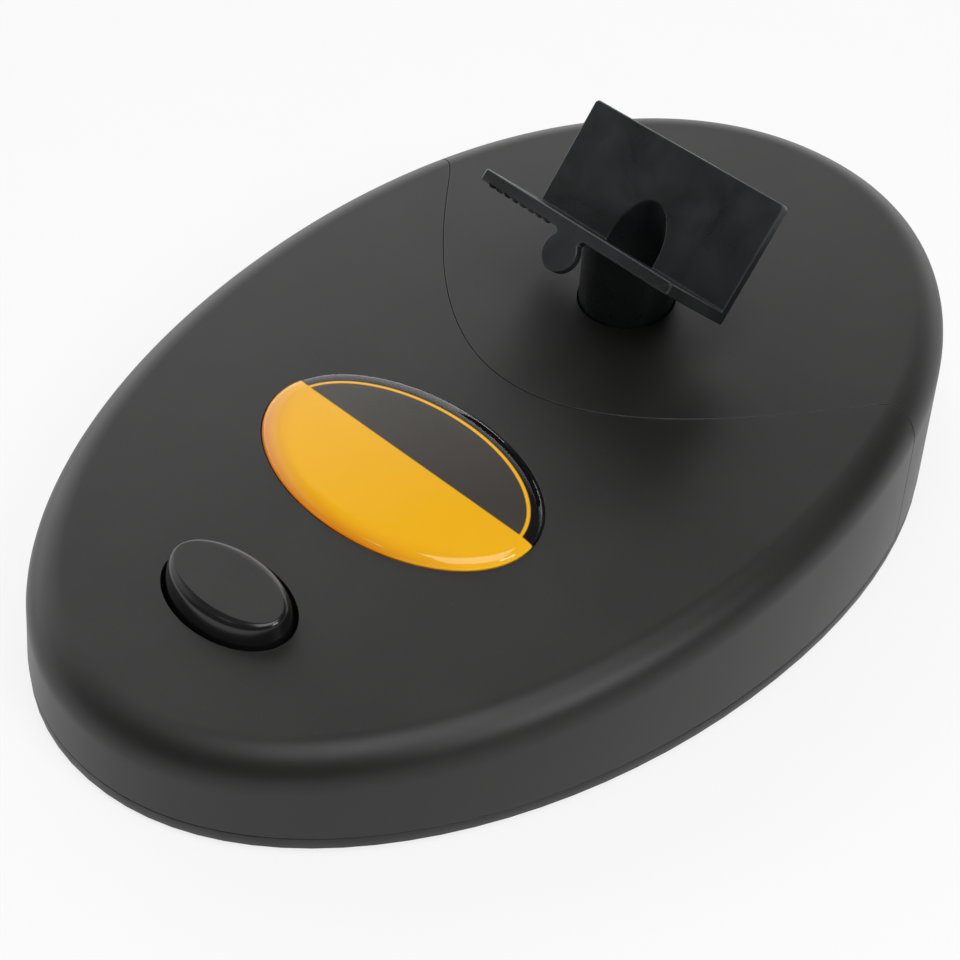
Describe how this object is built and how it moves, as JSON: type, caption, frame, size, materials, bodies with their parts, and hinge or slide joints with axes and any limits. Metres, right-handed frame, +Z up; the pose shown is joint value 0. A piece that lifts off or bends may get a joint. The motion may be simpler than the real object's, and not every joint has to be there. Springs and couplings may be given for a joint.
{
  "type": "nail polish shaker machine",
  "caption": "Oval wedge-topped table machine that shakes a nail polish bottle lying in a V-shaped cradle on a swinging post, started with an oval push button.",
  "frame": {"origin": "on the table under the middle of the housing's box", "axes": "+Y from the button end to the cradle end, +X to the right seen from the button end, +Z up"},
  "size_m": [0.1346, 0.2, 0.0595],
  "materials": {
    "cover_black": "fine satin, moulded",
    "base_black": "satin, moulded",
    "cradle_black": "semi-gloss, moulded",
    "button_black": "gloss flank, satin top",
    "label_print": "printed in two plain areas",
    "clear_resin": "clear, domed",
    "foot_rubber": "matt",
    "steel": "bright",
    "spring_steel": "nickel plated",
    "screw_steel": "zinc plated",
    "bronze": "sintered",
    "copper": "enamelled wire",
    "nylon": "natural",
    "switch_plastic": "matt",
    "ferrite": "matt",
    "cell_wrap": "plain shrink wrap",
    "lead_red": "smooth sleeve",
    "lead_black": "smooth sleeve"
  },
  "bodies": {
    "housing_body": {"front_cover": "cover_black", "rear_cover": "cover_black", "base_plate": "base_black", "foot_front_left": "foot_rubber", "foot_front_right": "foot_rubber", "foot_rear_left": "foot_rubber", "foot_rear_right": "foot_rubber", "badge_label": "label_print", "badge_dome": "clear_resin", "button_spring": "spring_steel", "switch_body": "switch_plastic", "switch_tags": "spring_steel", "battery_cell_front": "cell_wrap", "battery_cell_rear": "cell_wrap", "bridge_contact": "spring_steel", "plus_contact": "spring_steel", "minus_contact": "spring_steel", "motor_can": "steel", "motor_end_bell": "nylon", "motor_terminals": "spring_steel", "motor_magnets": "ferrite", "motor_brushes": "copper", "motor_front_bush": "bronze", "motor_rear_bush": "bronze", "motor_clamp": "switch_plastic", "clamp_screws": "screw_steel", "thrust_washer": "bronze", "lower_bush": "bronze", "upper_bush": "bronze", "bearing_bridge": "switch_plastic", "bridge_screws": "screw_steel", "cover_screws": "screw_steel", "lead_plus": "lead_red", "lead_switch": "lead_red", "lead_minus": "lead_black"},
    "cradle_body": {"cradle": "cradle_black", "cradle_screw": "screw_steel", "spindle": "steel", "rocker_arm": "nylon", "rocker_pin": "steel"},
    "rotor_body": {"motor_shaft": "steel", "armature_core": "steel", "armature_windings": "copper", "commutator": "copper", "eccentric_hub": "nylon", "crank_pin": "steel"},
    "button_body": {"push_button": "button_black"},
    "plunger_body": {"switch_plunger": "nylon"},
    "door_body": {"battery_door": "base_black"}
  },
  "joints": [
    {"name": "cradle_swing", "type": "hinge", "parent": "housing_body", "child": "cradle_body", "pos_m": [0, 0.0343, 0.043], "axis": [0, 0, 1], "range_deg": [-6.8, 15.2]},
    {"name": "rotor_spin", "type": "hinge", "parent": "housing_body", "child": "rotor_body", "pos_m": [0, 0.0035, 0.0125], "axis": [0, 1, 0], "range_deg": [-55.7, 124.5]},
    {"name": "button_press", "type": "slide", "parent": "housing_body", "child": "button_body", "axis": [0, 0, -1], "range_m": [0, 0.0018], "stiffness_N_per_m": 600, "springref_m": -0.002, "deforming": ["button_spring"]},
    {"name": "plunger_press", "type": "slide", "parent": "housing_body", "child": "plunger_body", "axis": [0, 0, -1], "range_m": [0, 0.0018]},
    {"name": "door_slide", "type": "slide", "parent": "housing_body", "child": "door_body", "axis": [0, -1, 0], "range_m": [0, 0.006]}
  ],
  "couplings": [
    {"joint": "rotor_spin", "follows": "cradle_swing", "ratio": 8.1818},
    {"joint": "plunger_press", "follows": "button_press", "ratio": 1}
  ]
}
